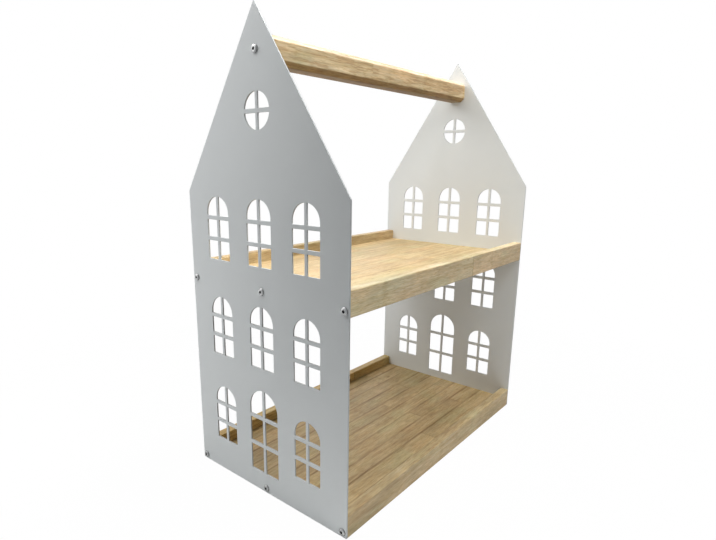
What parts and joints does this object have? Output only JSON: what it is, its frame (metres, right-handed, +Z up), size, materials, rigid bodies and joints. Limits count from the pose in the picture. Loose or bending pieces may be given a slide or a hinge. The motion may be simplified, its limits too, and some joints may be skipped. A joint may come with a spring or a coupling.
{
  "type": "tabletop shelf",
  "caption": "Small carry shelf for a child's room: lipped bamboo trays and a carrying bar screwed between gabled white steel ends cut out with arched windows.",
  "frame": {"origin": "centre of the footprint, on the surface that the shelf stands on", "axes": "+Z up, +X along the shelf towards the right end panel, -Y towards the open front"},
  "size_m": [0.3782, 0.22, 0.4794],
  "materials": {
    "white_powder_coat": "matt white powder coat on sheet steel",
    "bamboo_board": "bamboo strips, edge-glued, clear matt lacquer",
    "bamboo_rail": "bamboo strips, edge-glued, clear matt lacquer",
    "bamboo_bar": "laminated bamboo, clear matt lacquer",
    "screw_steel": "bright zinc-plated steel",
    "insert_brass": "turned brass",
    "dowel_wood": "plain beech"
  },
  "bodies": {
    "root": {"panel_left": "white_powder_coat", "panel_right": "white_powder_coat", "upper_board": "bamboo_board", "upper_front_rail": "bamboo_rail", "upper_back_rail": "bamboo_rail", "lower_board": "bamboo_board", "lower_front_rail": "bamboo_rail", "lower_back_rail": "bamboo_rail", "carrying_bar": "bamboo_bar", "bar_screw_left": "screw_steel", "bar_screw_right": "screw_steel", "upper_tray_screws_left": "screw_steel", "upper_tray_screws_right": "screw_steel", "lower_tray_screws_left": "screw_steel", "lower_tray_screws_right": "screw_steel", "bar_insert_left": "insert_brass", "bar_insert_right": "insert_brass", "upper_tray_inserts_left": "insert_brass", "upper_tray_inserts_right": "insert_brass", "lower_tray_inserts_left": "insert_brass", "lower_tray_inserts_right": "insert_brass", "upper_front_dowels": "dowel_wood", "upper_back_dowels": "dowel_wood", "lower_front_dowels": "dowel_wood", "lower_back_dowels": "dowel_wood"}
  },
  "joints": []
}
